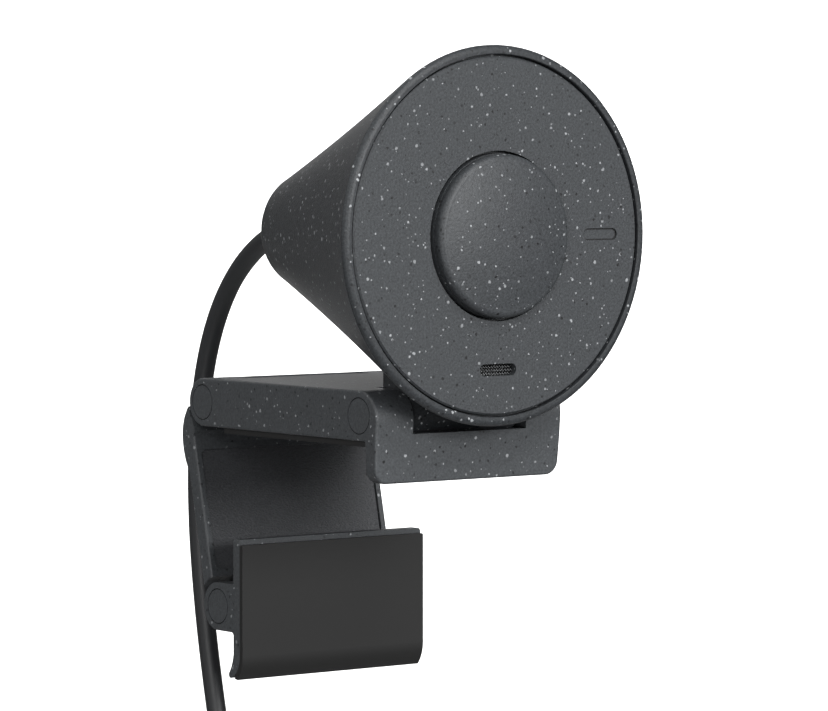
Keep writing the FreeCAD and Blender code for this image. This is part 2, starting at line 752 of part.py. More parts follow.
def cord_tie():
    """Strap around the coil's section, on the side that points along X."""
    centre = V(coil_r, coil_y, coil_z)
    outer = Part.Wire(Part.makeCircle(coil_thick + tie_t, centre, V(0, 0, 1)))
    inner = Part.Wire(Part.makeCircle(coil_thick, centre, V(0, 0, 1)))
    ring = Part.Face(outer).cut(Part.Face(inner))
    ring.rotate(V(0, coil_y, coil_z), V(0, 1, 0), -tie_turn / 2)
    return ring.revolve(V(0, coil_y, coil_z), V(0, 1, 0), tie_turn)


def plug_grip():
    x, y = plug_grip_size[0] / 2, plug_grip_size[1] / 2
    z0 = plug_top - plug_relief[2]
    grip = block(-x, x, plug_y - y, plug_y + y, z0 - plug_grip_size[2], z0)
    grip = soften(grip, plug_grip_round, lambda e: is_line_along(e, V(0, 0, 1)))
    relief = Part.makeCone(*plug_relief, V(0, plug_y, plug_top), V(0, 0, -1))
    return grip.fuse(relief).removeSplitter()


def plug_shell():
    """Hollow metal shell of the connector with its tongue, open at the lower end."""
    z0 = plug_top - plug_relief[2] - plug_grip_size[2]
    z1 = z0 - plug_shell_size[2]

    def oval(width, height, low, high):
        r = height / 2
        reach = width / 2 - r
        ends = [Part.makeCylinder(r, high - low, V(sx * reach, plug_y, low)) for sx in (-1, 1)]
        return block(-reach, reach, plug_y - r, plug_y + r, low, high).fuse(ends).removeSplitter()
    shell = oval(plug_shell_size[0], plug_shell_size[1], z1, z0)
    room = oval(plug_shell_size[0] - 2 * plug_shell_wall, plug_shell_size[1] - 2 * plug_shell_wall,
                z1 - 1, z0 - 0.4)
    x, y = plug_tongue[0] / 2, plug_tongue[1] / 2
    tongue = block(-x, x, plug_y - y, plug_y + y, z0 - plug_tongue[2] - 0.4, z0 - 0.4)
    return shell.cut(room).fuse(tongue).removeSplitter()


# ---------------------------------------------------------------- save

seat = V(0, seat_y, arm_low - liner_t)
os.makedirs("parts", exist_ok=True)
parts = {
    "rear_housing": rear_housing(),
    "front_plate": front_plate(),
    "led_window": led_window(),
    "led_board": led_board(),
    "mic_mesh": mic_mesh(),
    "mic_gasket": mic_gasket(),
    "mic_board": mic_board(),
    "privacy_cover": privacy_cover(),
    "cover_skirt": cover_skirt(),
    "cover_retainer": cover_retainer(),
    "chassis": chassis(),
    "main_board": main_board(),
    "lens_holder": lens_holder(),
    "lens_barrel": lens_barrel(),
    "lens_glass": lens_glass(),
    "image_sensor": image_sensor(),
    "cord_socket": cord_socket(),
    "cord_gland": cord_gland(),
    "inner_lead": inner_lead(),
    "cord": cord,
    "cord_coil": cord_coil(),
    "cord_tie": cord_tie(),
    "cord_tail": tail,
    "plug_grip": plug_grip(),
    "plug_shell": plug_shell(),
    "clip_bracket": clip_bracket(),
    "bracket_liner": bracket_liner(),
    "tilt_pin": pin(tilt_y, hinge_z, tilt_pin_r, clip_half),
    "leg": leg(),
    "leg_panel": leg_panel(),
    "leg_pin": pin(leg_y, hinge_z, pin_r, clip_half),
    "foot_frame": foot_frame(),
    "foot_pad": foot_pad(),
    "foot_pin": pin(foot_y, foot_z, pin_r, foot_half),
}
for n, (x, z) in enumerate(corners, 1):
    parts["board_screw_%d" % n] = board_screw(x, z)
for side, tag in ((-1, "left"), (1, "right")):
    parts["tilt_cap_" + tag] = pin_cap(tilt_y, hinge_z, clip_half, side)
    parts["leg_cap_" + tag] = pin_cap(leg_y, hinge_z, clip_half, side)
    parts["foot_cap_" + tag] = pin_cap(foot_y, foot_z, foot_half, side)

for node, shape in parts.items():
    shape = shape.copy()
    shape.translate(-seat)
    ok = shape.isValid() and len(shape.Solids) == 1
    print("%-16s %8.1f mm3%s" % (node, shape.Volume, "" if ok else "  NOT one valid solid"))
    shape.exportStep("parts/%s.step" % node)
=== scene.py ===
# %% [markdown]
# # A webcam on a monitor clip
# The webcam is a hollow cone of speckled plastic with a turning cover over its lens, held on a
# folding clip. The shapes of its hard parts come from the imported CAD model, which this script
# loads and never changes. What is made here is what CAD shows badly: the limp cord, the woven
# wire over the microphone, the strap and the plug, and the finish of every surface.

# %% Load the CAD frame
import json
import math

import bpy
import numpy as np
from mathutils import Matrix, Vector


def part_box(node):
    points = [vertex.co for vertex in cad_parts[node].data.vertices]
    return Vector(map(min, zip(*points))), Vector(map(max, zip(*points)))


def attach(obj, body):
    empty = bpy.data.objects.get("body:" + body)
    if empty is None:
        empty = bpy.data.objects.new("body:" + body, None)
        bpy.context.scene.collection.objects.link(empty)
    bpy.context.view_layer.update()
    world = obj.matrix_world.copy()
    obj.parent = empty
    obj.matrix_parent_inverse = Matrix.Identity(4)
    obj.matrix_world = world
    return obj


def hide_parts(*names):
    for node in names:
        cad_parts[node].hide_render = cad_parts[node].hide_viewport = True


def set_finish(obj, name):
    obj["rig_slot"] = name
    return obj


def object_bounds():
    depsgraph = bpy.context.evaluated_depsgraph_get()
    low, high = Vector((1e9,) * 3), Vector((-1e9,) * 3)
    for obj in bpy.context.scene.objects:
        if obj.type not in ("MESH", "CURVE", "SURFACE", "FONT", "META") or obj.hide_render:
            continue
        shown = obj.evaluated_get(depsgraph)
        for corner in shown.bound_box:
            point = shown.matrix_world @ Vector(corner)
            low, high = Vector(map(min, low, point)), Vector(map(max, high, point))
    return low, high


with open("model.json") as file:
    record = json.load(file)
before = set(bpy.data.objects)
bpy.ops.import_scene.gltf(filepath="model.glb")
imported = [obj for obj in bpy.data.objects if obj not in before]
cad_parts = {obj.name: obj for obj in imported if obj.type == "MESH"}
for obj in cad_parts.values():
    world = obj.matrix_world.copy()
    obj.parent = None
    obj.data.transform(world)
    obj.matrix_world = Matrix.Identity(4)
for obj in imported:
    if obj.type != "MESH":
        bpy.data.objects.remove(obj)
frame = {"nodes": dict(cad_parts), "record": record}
cad_box = [list(corner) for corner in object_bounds()]
rim_centre = np.array([0.0, -0.026, 0.029245])  # middle of the cone's widest circle
mm = 0.001
print("CAD nodes:", len(frame["nodes"]), "box:", np.round(cad_box, 4).tolist())

# %% [markdown]
# ## The camera
# A long lens from 0.6 m away keeps the circle of the front nearly free of perspective, as in
# catalogue pictures. It stands to the left of the webcam and a little above it. Three unit
# vectors, right, up and back, are the columns of its rotation, so no angle has to be guessed.

# %% Camera
def placed(x, y, z, origin):
    """Matrix of an object with these unit vectors as its axes and this point as its origin."""
    matrix = np.eye(4)
    matrix[:3, 0], matrix[:3, 1], matrix[:3, 2], matrix[:3, 3] = x, y, z, origin
    return Matrix(matrix.tolist())


turn, rise = math.radians(37.0), math.radians(2.967)
right = np.array([math.cos(turn), -math.sin(turn), 0.0])
back = np.array([-math.sin(turn) * math.cos(rise), -math.cos(turn) * math.cos(rise),
                 math.sin(rise)])
up = np.cross(back, right)
rim_in_view = np.array([11.27, 16.61, -601.7]) * mm  # the rim's middle, as the camera sees it
eye = rim_centre - np.stack([right, up, back], axis=1) @ rim_in_view

camera = bpy.data.objects.new("camera", bpy.data.cameras.new("camera"))
bpy.context.scene.collection.objects.link(camera)
camera.data.sensor_width, camera.data.lens = 36.0, 188.35
camera.data.clip_start, camera.data.clip_end = 0.05, 30.0
camera.matrix_world = placed(right, up, back, eye)
bpy.context.scene.camera = camera
print("camera at", np.round(eye, 3).tolist())

# %% [markdown]
# ## Helpers for shapes
# Every new surface here is a grid of points that numpy works out in one go. Neighbouring points
# become faces; a direction that closes on itself joins its last points to its first. Two small
# curves come up again and again: the step without a corner, and the rounded square wave that
# turns a circle's outline into a flatter or squarer one.

# %% Grid to mesh, and two curves
def grid_object(name, points, body, closed=(False, True), caps=False):
    """Object whose faces join the points of a (..., rows, columns, 3) array to their neighbours.

    closed tells whether rows and columns close on themselves. caps fill the first and last row.
    Arrays with more dimensions hold many such grids, which become one mesh.
    """
    number = np.arange(points[..., 0].size).reshape(points.shape[:-1])
    a = number if closed[0] else number[..., :-1, :]
    b = np.roll(number, -1, axis=-2) if closed[0] else number[..., 1:, :]
    if closed[1]:
        quads = np.stack([a, np.roll(a, -1, axis=-1), np.roll(b, -1, axis=-1), b], axis=-1)
    else:
        quads = np.stack([a[..., :-1], a[..., 1:], b[..., 1:], b[..., :-1]], axis=-1)
    faces = quads.reshape(-1, 4).tolist()
    if caps:
        faces += number[..., 0, ::-1].reshape(-1, number.shape[-1]).tolist()
        faces += number[..., -1, :].reshape(-1, number.shape[-1]).tolist()
    mesh = bpy.data.meshes.new(name)
    mesh.from_pydata(points.reshape(-1, 3), [], faces)
    mesh.shade_smooth()
    mesh.update()
    made = bpy.data.objects.new(name, mesh)
    bpy.context.scene.collection.objects.link(made)
    if body:
        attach(made, body)
    print(name, len(mesh.polygons), "faces")
    return made


def smooth_step(x):
    """Rises from 0 to 1 without a corner while x goes from 0 to 1: 3 x squared - 2 x cubed."""
    x = np.clip(x, 0, 1)
    return x * x * (3 - 2 * x)


def squared_off(wave, power):
    """A sine or cosine to a power below 1, sign kept, so that it stays longer near -1 and 1."""
    return np.sign(wave) * np.abs(wave) ** power


# %% [markdown]
# ## The cord
# A USB lead is a limp round cable, 3 mm thick and 1.5 m long. It leaves the back of the cone
# straight, bends under its own weight and hangs; the length that isn't needed is wound into a
# tied coil. One NURBS spline carries it all, because its curvature has no jumps, as in a real
# cable. The turns of the coil take the places of a close packing, like pencils in a bundle, and
# each turn moves over to the next place under the strap, which hides the crossings.

# %% Cord
cord_r = 1.5 * mm
# the hanging part, as (y, z) in mm from the rim's middle
hanging = np.array([(45.7, 0.0), (51.2, 0.0), (57.5, -2.5), (63.8, -7.2), (68.8, -14.0),
                    (72.1, -22.5), (73.8, -33.0), (73.7, -45.5), (72.1, -58.0), (69.9, -69.0),
                    (67.7, -78.0)])
hanging = np.column_stack([np.zeros(len(hanging)), hanging]) * mm + rim_centre
coil_middle = np.array([0.0, 66.8, -107.8]) * mm + rim_centre
coil_r = 17.25 * mm
pitch = 3.0 * mm  # one cord's thickness, the distance between neighbouring turns
# places of the turns, across the coil and along its axis, in thicknesses of the cord
places = np.array([(0.0, -2.0), (0.5, -1.0), (1.5, -1.0), (1.0, 0.0), (1.5, 1.0), (0.5, 1.0),
                   (0.0, 2.0), (-0.5, 1.0), (-1.5, 1.0), (-1.0, 0.0), (0.0, 0.0), (-0.5, -1.0),
                   (-1.5, -1.0)])
places = places * [1.0, math.sqrt(3) / 2] * pitch


def coil_turns(per_turn=16):
    """Points round the coil: the angle grows evenly, and once a turn the place changes smoothly.

    radius = coil_r + place across, y = place along the axis. Turn k goes from place k to place
    k + 1 by a smooth step in its middle, over within an eighth of a turn. A quadratic spline
    runs inside its points by the cosine of half their spacing, so the radius is divided by it.
    """
    turns = len(places) - 1
    t = np.arange(turns * per_turn + 1) / per_turn
    k = np.minimum(np.floor(t).astype(int), turns - 1)
    share = smooth_step((t - k - 0.5) * 8 + 0.5)[:, None]
    place = places[k] * (1 - share) + places[k + 1] * share
    angle = math.pi + 2 * math.pi * t
    r = (coil_r + place[:, 0]) / math.cos(math.pi / per_turn)
    return np.column_stack([r * np.cos(angle), place[:, 1], r * np.sin(angle)]) + coil_middle


# ways into and out of the coil, as (x, y, z) in mm from its middle
lead_in = np.array([(0.0, -2.2, 23.0), (-0.6, -5.8, 17.5), (-5.2, -8.2, 11.5), (-13.2, -7.6, 6.2)])
lead_out = np.array([(-12.9, -5.2, -6.6), (-10.2, -8.0, -13.0), (-4.6, -8.2, -20.5),
                     (-0.6, -5.4, -27.5), (0.2, -1.2, -34.5), (0.0, 1.0, -42.3)])
cord_line = np.vstack([hanging, lead_in * mm + coil_middle, coil_turns(),
                       lead_out * mm + coil_middle])

cord_curve = bpy.data.curves.new("usb_cord", "CURVE")
cord_curve.dimensions = "3D"
cord_curve.bevel_depth, cord_curve.bevel_resolution, cord_curve.resolution_u = 1.0, 4, 6
spline = cord_curve.splines.new("NURBS")
spline.points.add(len(cord_line) - 1)
spline.points.foreach_set("co", np.column_stack([cord_line, np.ones(len(cord_line))]).ravel())
spline.points.foreach_set("radius", np.full(len(cord_line), cord_r))
spline.order_u, spline.use_endpoint_u = 3, True
usb_cord = bpy.data.objects.new("usb_cord", cord_curve)
bpy.context.scene.collection.objects.link(usb_cord)
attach(usb_cord, "camera")
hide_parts("cord", "cord_coil", "cord_tail")
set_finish(usb_cord, "cord_jacket")
print("cord control points:", len(cord_line))

# %% [markdown]
# ## The strap of the coil
# A band of woven nylon holds the turns together. It is wrapped a little more than once round the
# bundle, so its free end lies on itself. The band is a flat oval carried along a spiral round
# the bundle: the spiral's radius grows by the band's thickness in each turn.

# %% Strap
band_t, band_half = 0.8 * mm, 6.2 * mm  # the band's thickness and half its width
wraps = 1.24  # turns round the bundle
inner_r = 6.75 * mm  # radius at which the spiral starts
climb = 1.25  # thicknesses by which the spiral rises in all, so that one layer lies on the other
flattened = 0.92  # the bundle is a little narrower across the coil than along its axis
squareness = 0.35  # power that makes the band's outline a flat strip with round edges


def strap_points(rows=110, columns=24):
    """Oval outline carried along a spiral: radius = inner_r + climb x thickness, evenly gained.

    The oval's flat sides come from a squared-off sine. The whole bends with the coil: what runs
    along the band's width becomes an angle about the coil's axis.
    """
    wrapped = np.linspace(-wraps / 2, wraps / 2, rows)[:, None]
    around = 2 * math.pi * wrapped
    outline = np.linspace(0, 2 * math.pi, columns, endpoint=False)[None, :]
    flat = squared_off(np.sin(outline), squareness) * band_half
    thick = np.cos(outline) * band_t / 2
    reach = inner_r + band_t * (wraps / 2 + wrapped) / wraps * climb + thick
    r = coil_r + reach * np.cos(around) * flattened
    angle = flat / coil_r
    along = reach * np.sin(around) + 0 * angle
    return np.stack([r * np.cos(angle), along, r * np.sin(angle)], axis=-1) + coil_middle


coil_strap = grid_object("coil_strap", strap_points(), "camera", caps=True)
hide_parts("cord_tie")
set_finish(coil_strap, "tie_plastic")

# %% [markdown]
# ## The plug's grip
# The grip is rubbery plastic moulded round the cable in one shot: a ringed neck that spreads the
# bending, then a flat body with ribs for the fingers. Every cross-section is a superellipse, a
# curve between an ellipse and a rectangle, so one formula covers round neck and flat body.

# %% Plug
grip_low, grip_high = (np.array(corner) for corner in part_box("plug_grip"))
# the plug's sizes in mm, depths counted from the cable's end
grip_length, neck_end, widening = 28, 7.6, 2.6
neck_r, neck_taper = 2.0, 0.09  # radius at the cable, and what it gains with each mm
ring_pitch, ring_depth, ring_width = 1.9, 0.38, 0.3
body_half_width, body_half_height, edge_r = 6.0, 3.1, 0.8
rib_first, rib_last, rib_pitch, rib_depth, rib_fade = 13, 23.8, 1.55, 0.28, 0.5
round_power, squarer = 2, 2.6  # power that gives a circle, and what the flat body adds to it


def plug_grip_points(rows=150, columns=64):
    """Superellipses |x/a|^n + |y/b|^n = 1 along the plug; a, b and n change with the depth s in mm.

    The neck has four ring grooves, the flat faces have seven ribs, and the far end is rounded.
    """
    s = np.linspace(0, grip_length, rows)[:, None]
    body = smooth_step((s - neck_end) / widening)
    ring = np.exp(-(((s % ring_pitch) - ring_pitch / 2) / ring_width) ** 2) * (s < neck_end)
    neck = neck_r + neck_taper * s - ring_depth * ring
    rounded = np.clip((s - (grip_length - edge_r)) / edge_r, 0, 1)
    shrunk = edge_r * body * (1 - np.sqrt(np.clip(1 - rounded ** 2, 0, 1)))
    a = neck * (1 - body) + body_half_width * body - shrunk
    ribbed = np.clip((s - rib_first) / rib_fade, 0, 1) * np.clip((rib_last - s) / rib_fade, 0, 1)
    valley = 0.5 - 0.5 * np.cos(2 * math.pi * (s - rib_first) / rib_pitch)
    b = neck * (1 - body) + body_half_height * body - shrunk - rib_depth * ribbed * valley
    n = round_power + squarer * body
    angle = np.linspace(0, 2 * math.pi, columns, endpoint=False)[None, :]
    x = a * squared_off(np.cos(angle), 2 / n)
    y = b * squared_off(np.sin(angle), 2 / n)
    top = [(grip_low[0] + grip_high[0]) / 2, (grip_low[1] + grip_high[1]) / 2, grip_high[2]]
    return np.stack([x, y, -s + 0 * x], axis=-1) * mm + top


plug_handle = grid_object("plug_handle", plug_grip_points()[:, ::-1], "camera", caps=True)
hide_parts("plug_grip")
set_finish(plug_handle, "cord_jacket")

# %% [markdown]
# ## The woven wire over the microphone
# Behind the slot lies a piece of steel wire cloth. Each wire runs at 45 degrees and waves over
# and under the wires that cross it. A wire is a thin tube along a sine line; the wires of the
# other direction have the opposite phase, so they pass on the other side at each crossing.

# %% Wire cloth
mesh_low, mesh_high = (np.array(corner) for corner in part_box("mic_mesh"))
wire_r, wire_step = 0.07 * mm, 0.34 * mm
cut_tries = 201  # heights at which each line is tested against the slot's outline


def wire_points(lean, rows=31, columns=6):
    """Tubes along the lines x = c + lean z, cut where they leave the slot's oval outline.

    Lines stand step x root 2 apart along x. Depth = -lean x cosine of half a turn per crossing,
    so both directions pass over and under in turn, and each crossing has one of each on top.
    """
    half_x, _, half_z = (mesh_high - mesh_low) / 2
    count = int(half_x / (wire_step * math.sqrt(2)))
    c = np.arange(-count, count + 1) * wire_step * math.sqrt(2)
    z = np.linspace(-half_z, half_z, cut_tries)
    x = c[:, None] + lean * z
    inside = np.abs(x) < half_x - half_z + np.sqrt(half_z**2 - z**2)
    low = np.where(inside, z, half_z).min(axis=1)[:, None]
    high = np.where(inside, z, -half_z).max(axis=1)[:, None]
    z = low + (high - low) * np.linspace(0, 1, rows)
    run = z * math.sqrt(2) * math.pi / wire_step
    line = np.stack([c[:, None] + lean * z, -lean * wire_r * np.cos(run), z], axis=-1)
    ring = np.linspace(0, 2 * math.pi, columns, endpoint=False)
    side = np.array([1.0, 0.0, -lean]) / math.sqrt(2)
    front = np.array([0.0, -lean, 0.0])
    tube = np.cos(ring)[:, None] * side + np.sin(ring)[:, None] * front
    return line[:, :, None, :] + wire_r * tube + (mesh_low + mesh_high) / 2


both_ways = np.concatenate([wire_points(1.0), wire_points(-1.0)])
mic_wires = grid_object("mic_wires", both_ways, "camera", caps=True)
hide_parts("mic_mesh")
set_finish(mic_wires, "mesh_steel")

# %% [markdown]
# ## Colour and node helpers
# Colours are picked as the hex values a screen shows. A renderer counts in light, so one
# function turns them to linear values. Another adds a node with its settings and its links, and
# three short ones use it for the commonest nodes. The last finds, in a finished material, what
# a further layer of colour needs.

# %% Helpers for materials
def linear(hex_colour):
    """sRGB hex to linear RGBA: each channel to the power 2.4 above a short straight foot."""
    c = np.array([int(hex_colour[i:i + 2], 16) for i in (1, 3, 5)]) / 255
    return (*np.where(c <= 0.04045, c / 12.92, ((c + 0.055) / 1.055) ** 2.4).tolist(), 1.0)


def add(tree, kind, inputs=None, **settings):
    """Adds a node. An input, by name or number, is linked to another's output or set to a value."""
    made = tree.nodes.new(kind)
    for name, value in settings.items():
        setattr(made, name, value)
    for name, value in (inputs or {}).items():
        named = [s for s in made.inputs if s.name == name]
        known = [made.inputs[name]] if isinstance(name, int) else named
        socket = next(s for s in known if s.enabled)
        if isinstance(value, bpy.types.NodeSocket):
            tree.links.new(value, socket)
        else:
            socket.default_value = value
    return made


def vector(tree, operation, *inputs):
    """Result of a vector operation on the inputs in their order."""
    made = add(tree, "ShaderNodeVectorMath", dict(enumerate(inputs)), operation=operation)
    return made.outputs[0]


def ramp(tree, value, **ends):
    """Value carried evenly from one range to another, and held at the ends.

    ends are from_min, from_max, to_min and to_max; those not given are 0 and 1.
    """
    given = {name.replace("_", " ").title(): end for name, end in ends.items()}
    return add(tree, "ShaderNodeMapRange", {"Value": value, **given}).outputs[0]


def mixed(tree, share, first, second):
    """Colour between two others, by a share from 0 to 1."""
    made = add(tree, "ShaderNodeMix", {"Factor": share, "A": first, "B": second}, data_type="RGBA")
    return next(s for s in made.outputs if s.enabled)


def layers(material):
    """Node tree of a material, its shader, the object coordinates and the colour it has so far."""
    tree = material.node_tree
    shader = next(n for n in tree.nodes if n.type == "BSDF_PRINCIPLED")
    where = next(n for n in tree.nodes if n.type == "TEX_COORD").outputs["Object"]
    return tree, shader, where, shader.inputs["Base Color"].links[0].from_socket


# %% [markdown]
# ## Grained plastic
# The tool that moulds such plastic is etched, so its skin is finely pebbled: light spreads
# widely, and no clear reflection shows. The real grain is about 0.1 mm; it is drawn at 0.33 mm,
# as coarse as it needs to be to show.

# %% Grained plastic
def grained(name, colour, roughness, grain_mm=0.33, depth_mm=0.045, tone=0.55, stretch=(1, 1, 1),
            gloss=0.5):
    """Material whose bump and change of tone come from one noise of that grain size.

    tone is how far the colour swings either way, stretch squeezes the noise along x, y and z,
    and gloss is the strength of the sheen.
    """
    made = bpy.data.materials.new(name)
    made.use_nodes = True
    tree = made.node_tree
    tree.nodes.clear()
    where = add(tree, "ShaderNodeTexCoord").outputs["Object"]
    along = add(tree, "ShaderNodeMapping", {"Vector": where, "Scale": stretch}).outputs[0]
    noise = add(tree, "ShaderNodeTexNoise", {"Vector": along, "Scale": 1 / (grain_mm * mm),
                                             "Detail": 2.0, "Roughness": 0.6}).outputs["Fac"]
    light = [min(1.0, c * (1 + tone)) for c in linear(colour)[:3]] + [1.0]
    dark = [c * (1 - tone) for c in linear(colour)[:3]] + [1.0]
    shade = mixed(tree, noise, dark, light)
    bump = add(tree, "ShaderNodeBump", {"Height": noise, "Distance": depth_mm * mm})
    shader = add(tree, "ShaderNodeBsdfPrincipled", {"Base Color": shade, "Roughness": roughness,
                                                    "Specular IOR Level": gloss,
                                                    "Normal": bump.outputs["Normal"]})
    add(tree, "ShaderNodeOutputMaterial", {"Surface": shader.outputs["BSDF"]})
    return made


# %% [markdown]
# ## Flecks
# The plastic is partly ground-up old plastic, and bits of other colours stay in it as flecks of
# 0.2 to 0.7 mm. They lie all through the wall, so a fleck shows where the surface cuts a ball.
# A Voronoi texture scatters one point in each cell of space, and a ball round it is the fleck.
# Whether it is there, its size and its strength are drawn by lot for each cell. The cell's own
# colour can't be the lot, because it repeats the point's place in the cell, and a flat face would
# then show all flecks or none; white noise shuffles it first. Noise bends the space a little, so
# that the balls get ragged.

# %% Flecks
bend_mm = 0.35  # size of the waves that make the balls ragged
off_origin = 7.3  # cells by which each pattern is moved off the origin
sharp = 2.5  # a fleck reaches its full colour this many times sooner than at its middle
least_size, least_strength = 0.5, 0.55  # of the largest size and the full strength


def flecked(material, kinds):
    """Lays flecks over a material's colour.

    A kind is its cell and its largest ball radius in mm, the share of cells that have a fleck,
    and its colour. Amount = how deep the surface cuts into the ball x whether it is there x its
    strength.
    """
    tree, shader, where, colour = layers(material)
    waves = add(tree, "ShaderNodeTexNoise", {"Vector": where, "Scale": 1 / (bend_mm * mm),
                                             "Detail": 1.0}).outputs["Color"]
    bend = vector(tree, "SUBTRACT", waves, (0.5, 0.5, 0.5))  # noise swings round one half
    for cell, ball, share, tint in kinds:
        ragged = vector(tree, "MULTIPLY_ADD", bend, (ball * mm,) * 3, where)
        moved = vector(tree, "ADD", ragged, (cell * mm * off_origin,) * 3)
        cells = add(tree, "ShaderNodeTexVoronoi", {"Vector": moved, "Scale": 1 / (cell * mm)})
        chance = add(tree, "ShaderNodeTexWhiteNoise", {"Vector": cells.outputs["Color"]})
        lot = add(tree, "ShaderNodeSeparateColor", {"Color": chance.outputs["Color"]}).outputs
        size = ramp(tree, lot["Red"], to_min=least_size * ball / cell, to_max=ball / cell)
        there = add(tree, "ShaderNodeMath", {0: lot["Green"], 1: share}, operation="LESS_THAN")
        inside = ramp(tree, cells.outputs["Distance"], from_min=size, from_max=0.0, to_max=sharp)
        strength = ramp(tree, lot["Blue"], to_min=least_strength, to_max=1.0)
        amount = add(tree, "ShaderNodeMath", {0: inside, 1: there.outputs[0]},
                     operation="MULTIPLY", use_clamp=True)
        amount = add(tree, "ShaderNodeMath", {0: amount.outputs[0], 1: strength},
                     operation="MULTIPLY")
        colour = mixed(tree, amount.outputs[0], colour, linear(tint))
    tree.links.new(colour, shader.inputs["Base Color"])
    return material


# %% [markdown]
# ## Painted shade in the seam of the status light
# The light's window is let into the plate, and the shade in the narrow gap of its seam is painted
# as a dark line all round. The line follows the window's outline, which is a slot: every point on
# it lies equally far from a short straight spine. That distance, worked out from the object
# coordinates, tells where the line is.

# %% Painted shade line round the window
def painted_seam_shade(material, node, seam_shade_mm, tint):
    """Paints shade on a slot-shaped window where the distance from its spine is nearly half its
    height.
    """
    low, high = (np.array(corner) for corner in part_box(node))
    half_x, _, radius = (high - low) / 2
    tree, shader, where, colour = layers(material)
    from_middle = vector(tree, "SUBTRACT", where, ((low + high) / 2).tolist())
    one_side = vector(tree, "ABSOLUTE", from_middle)
    past = vector(tree, "SUBTRACT", one_side, (half_x - radius, 1.0, 0.0))
    outside = vector(tree, "MAXIMUM", past, (0.0, 0.0, 0.0))
    away = add(tree, "ShaderNodeVectorMath", {0: outside}, operation="LENGTH").outputs["Value"]
    line = seam_shade_mm * mm
    share = ramp(tree, away, from_min=radius - line, from_max=radius - line / 2)
    tree.links.new(mixed(tree, share, colour, linear(tint)), shader.inputs["Base Color"])
    return material


# %% [markdown]
# ## Plastics and rubbers
# All the plastics are dark and matt; grain, gloss and flecks tell them apart. A low gloss stands
# for a skin that is rough below the size of the drawn grain too. Each kind of fleck is (cell,
# ball, share, colour): large pale ones, small pale ones, and near-black ones.

# %% Plastics and rubbers
pale_and_dark = [(1.25, 0.3, 0.42, "#737577"), (0.8, 0.19, 0.36, "#757779"),
                 (1.0, 0.28, 0.52, "#050506")]
cone_flecks = [(1.25, 0.34, 0.4, "#7e8082"), (0.8, 0.22, 0.32, "#7e8082"),
               (1.0, 0.28, 0.52, "#050506")]

# plate and cover: an even dark grey with a soft sheen, pebbled, strewn with pale and dark flecks
plate_base = grained("abs_flecked_moulded_grain", "#27292b", 0.5, tone=0.85, gloss=0.23)
flecked_plastic = flecked(plate_base, pale_and_dark)
# cone: the same plastic, painted a little darker as painted shade for a side that gets less light
# than the front
cone_painted_shade_base = grained("abs_flecked_cone_painted_shade", "#222426", 0.5, tone=0.85, gloss=0.2)
cone_plastic_painted_shade = flecked(cone_painted_shade_base, cone_flecks)
# clip: a shade lighter, with a calmer grain and the same flecks
clip_plastic = flecked(grained("abs_flecked_clip", "#2f3133", 0.5, gloss=0.23), pale_and_dark)
# hinge caps: the clip's grey without flecks, so that they stand out as plain discs
cap_plastic = grained("abs_plain_hinge_cap", "#2f3133", 0.5, gloss=0.23)
# panel on the leg: a coarse, deep, stretched grain that breaks the light up like leather
panel_plastic = grained("abs_dark_leather_grain", "#2f3032", 0.5, grain_mm=0.4, depth_mm=0.16,
                        tone=0.45, stretch=(1.0, 0.8, 1.6), gloss=0.22)
# window of the status light: it hides in the plate's grey but for the painted shade of its seam
light_window = grained("tinted_light_window", "#27292b", 0.5, gloss=0.23)
painted_seam_shade(light_window, "led_window", 0.28, "#0b0b0c")
# pads: dead matt and nearly black, smoother than any plastic here
pad_rubber = grained("silicone_rubber_matte", "#0c0c0c", 0.62, grain_mm=0.15, depth_mm=0.004,
                     tone=0.04, gloss=0.27)
# cord and plug: dark, with a soft long highlight that shows how round the cord is
cord_jacket = grained("tpe_cord_jacket_matte", "#17181a", 0.5, grain_mm=0.2, depth_mm=0.006,
                      tone=0.05, gloss=0.35)
# inner carriers: black and satin, with a faint grain
black_plastic = grained("black_glass_filled_nylon", "#141516", 0.5, grain_mm=0.3, depth_mm=0.01,
                        tone=0.1)
# gasket: open foam, which swallows the light
gasket_foam = grained("black_foam_gasket", "#1a1a1b", 0.9, grain_mm=0.25, depth_mm=0.1, tone=0.3)
# strap: dull and softly uneven, which reads as cloth
strap_nylon = grained("nylon_strap_woven", "#1d1e20", 0.8, grain_mm=0.4, depth_mm=0.08, tone=0.3)
# circuit boards: smooth lacquer, green; the board behind the wire cloth is painted near-black, as
# painted shade for the dark slot
board_green = grained("board_solder_mask", "#1e4a36", 0.35, grain_mm=1.2, depth_mm=0.01, tone=0.15)
board_painted_shade_black = grained("board_solder_mask_painted_shade", "#08090a", 0.6, grain_mm=1.2, depth_mm=0.01,
                      tone=0.15)
# chips: satin black epoxy
chip_black = grained("chip_moulded_epoxy", "#1c1c1e", 0.45, grain_mm=0.2, depth_mm=0.01, tone=0.1)

# %% [markdown]
# ## Metals and glass
# Steel wire, pins, screws and the plug's shell differ in how they were made: drawn, turned or
# stamped and plated. All keep a metal's default IOR; only roughness and tone tell them apart.

# %% Metals and glass
def metal(name, colour, roughness):
    """Metal with a faint grain, so that its reflections are a little uneven."""
    made = grained(name, colour, roughness, grain_mm=0.2, depth_mm=0.003, tone=0.08)
    layers(made)[1].inputs["Metallic"].default_value = 1.0
    return made


# wire cloth: blackened, so that the weave shows only as fine glints in a dark slot
mesh_steel = metal("steel_wire_cloth_blackened", "#4c4d4e", 0.45)
# pins: bright, with clear highlights
pin_steel = metal("turned_steel_pin", "#9a9b9d", 0.3)
# screws: the cool, slightly dull shine of zinc
screw_steel = metal("zinc_plated_screw", "#8d9094", 0.35)
# plug's shell: the warm smooth shine of nickel
plug_steel = metal("nickel_plated_shell", "#a9a8a3", 0.25)
